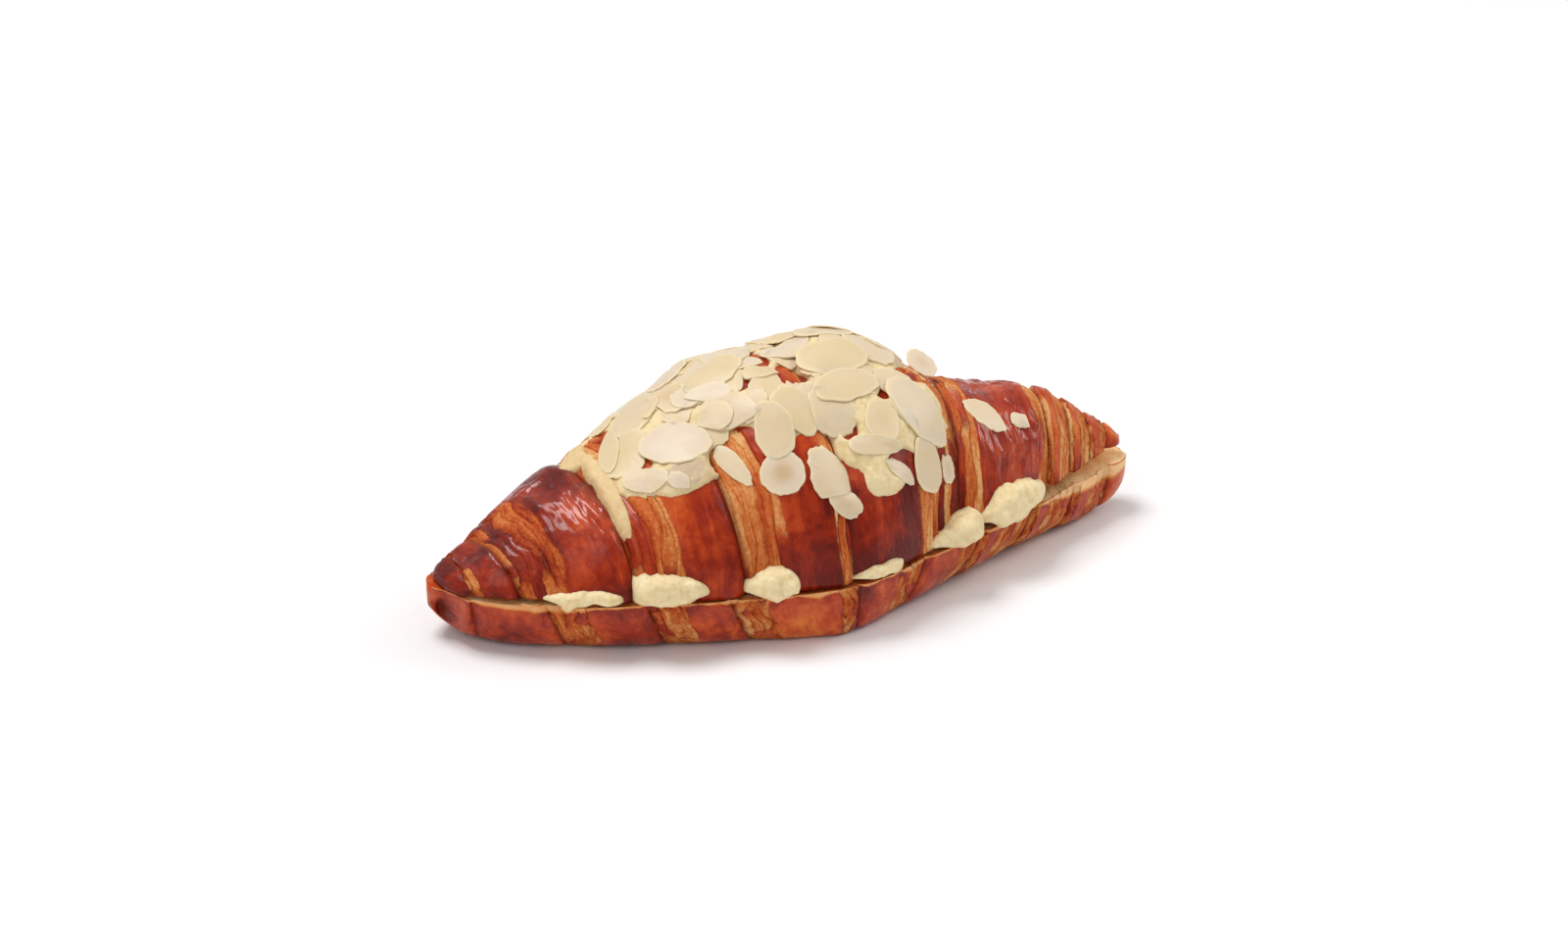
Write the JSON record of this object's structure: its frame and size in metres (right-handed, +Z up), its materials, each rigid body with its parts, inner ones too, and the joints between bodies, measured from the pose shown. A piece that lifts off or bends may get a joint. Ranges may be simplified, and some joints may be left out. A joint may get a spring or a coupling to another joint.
{
  "type": "almond croissant",
  "caption": "Baked croissant cut level into a lid and a lower half, with almond cream squeezed out between them and sliced almonds on top.",
  "frame": {"origin": "under the middle of the croissant, on the surface that it lies on", "axes": "+X from the left tip to the right tip as the picture shows them, +Y away from the front side, +Z up through the lid"},
  "size_m": [0.16, 0.075, 0.0511],
  "materials": {
    "lower_crust": "baked crust, satin, with pale crumb on its cut face",
    "lid_crust": "egg-washed crust, glossy, with matt flaky bands at the seams of the roll",
    "almond_cream": "baked almond cream, satin, grainy where it was squeezed out",
    "almonds_in_cream": "blanched almond slices, satin, laid in baked cream"
  },
  "bodies": {
    "root": {"croissant_lower_half": "lower_crust", "croissant_lid": "lid_crust", "almond_cream_filling": "almond_cream", "almond_topping": "almonds_in_cream"}
  },
  "joints": []
}
